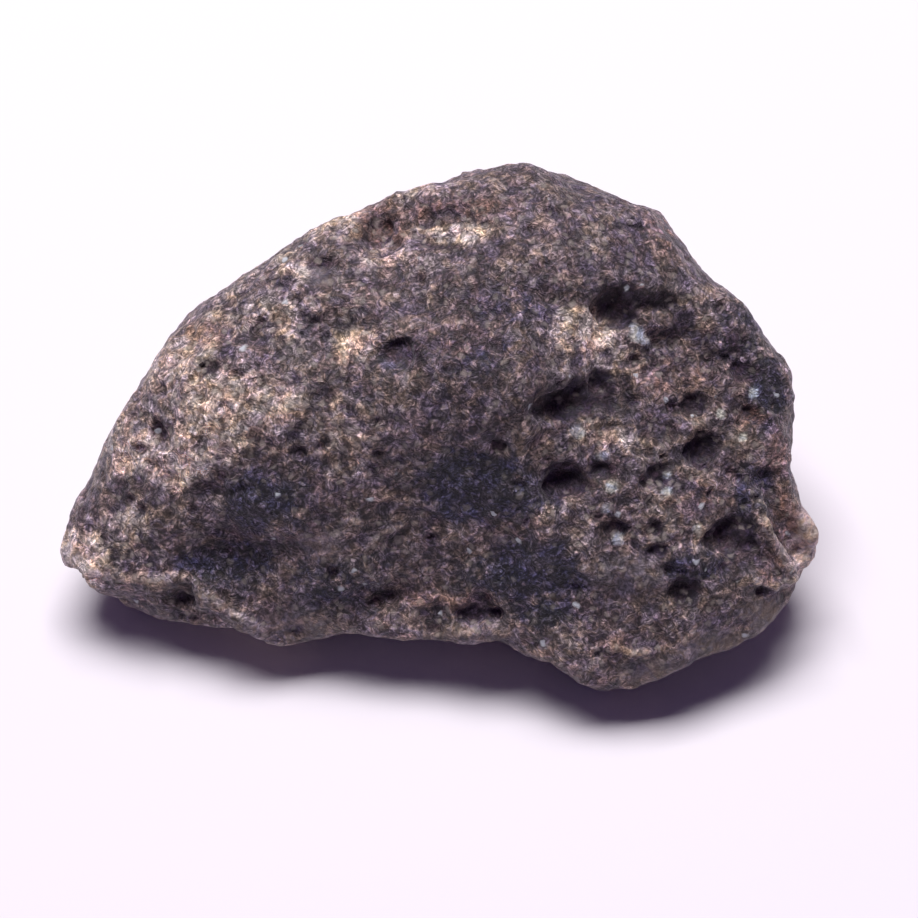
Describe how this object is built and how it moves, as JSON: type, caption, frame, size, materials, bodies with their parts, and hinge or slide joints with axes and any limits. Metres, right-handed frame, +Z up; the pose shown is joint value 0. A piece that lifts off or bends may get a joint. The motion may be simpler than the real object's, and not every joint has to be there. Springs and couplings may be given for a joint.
{
  "type": "impact glass",
  "caption": "Dark, pitted lump of impact glass: a blunt wedge of melted rock with burst gas bubbles, a broken hollow at its thick end and a flat broken underside.",
  "frame": {"origin": "middle of the bounding box, on the surface that the stone rests on", "axes": "+X along its length towards the thick end, +Y across the broad face towards its high edge, +Z up"},
  "size_m": [0.042, 0.0272, 0.02],
  "materials": {
    "impact_glass": "rough, sandy skin over dull dark glass, with tan crust in patches"
  },
  "bodies": {
    "root": {"impact_glass": "impact_glass"}
  },
  "joints": []
}
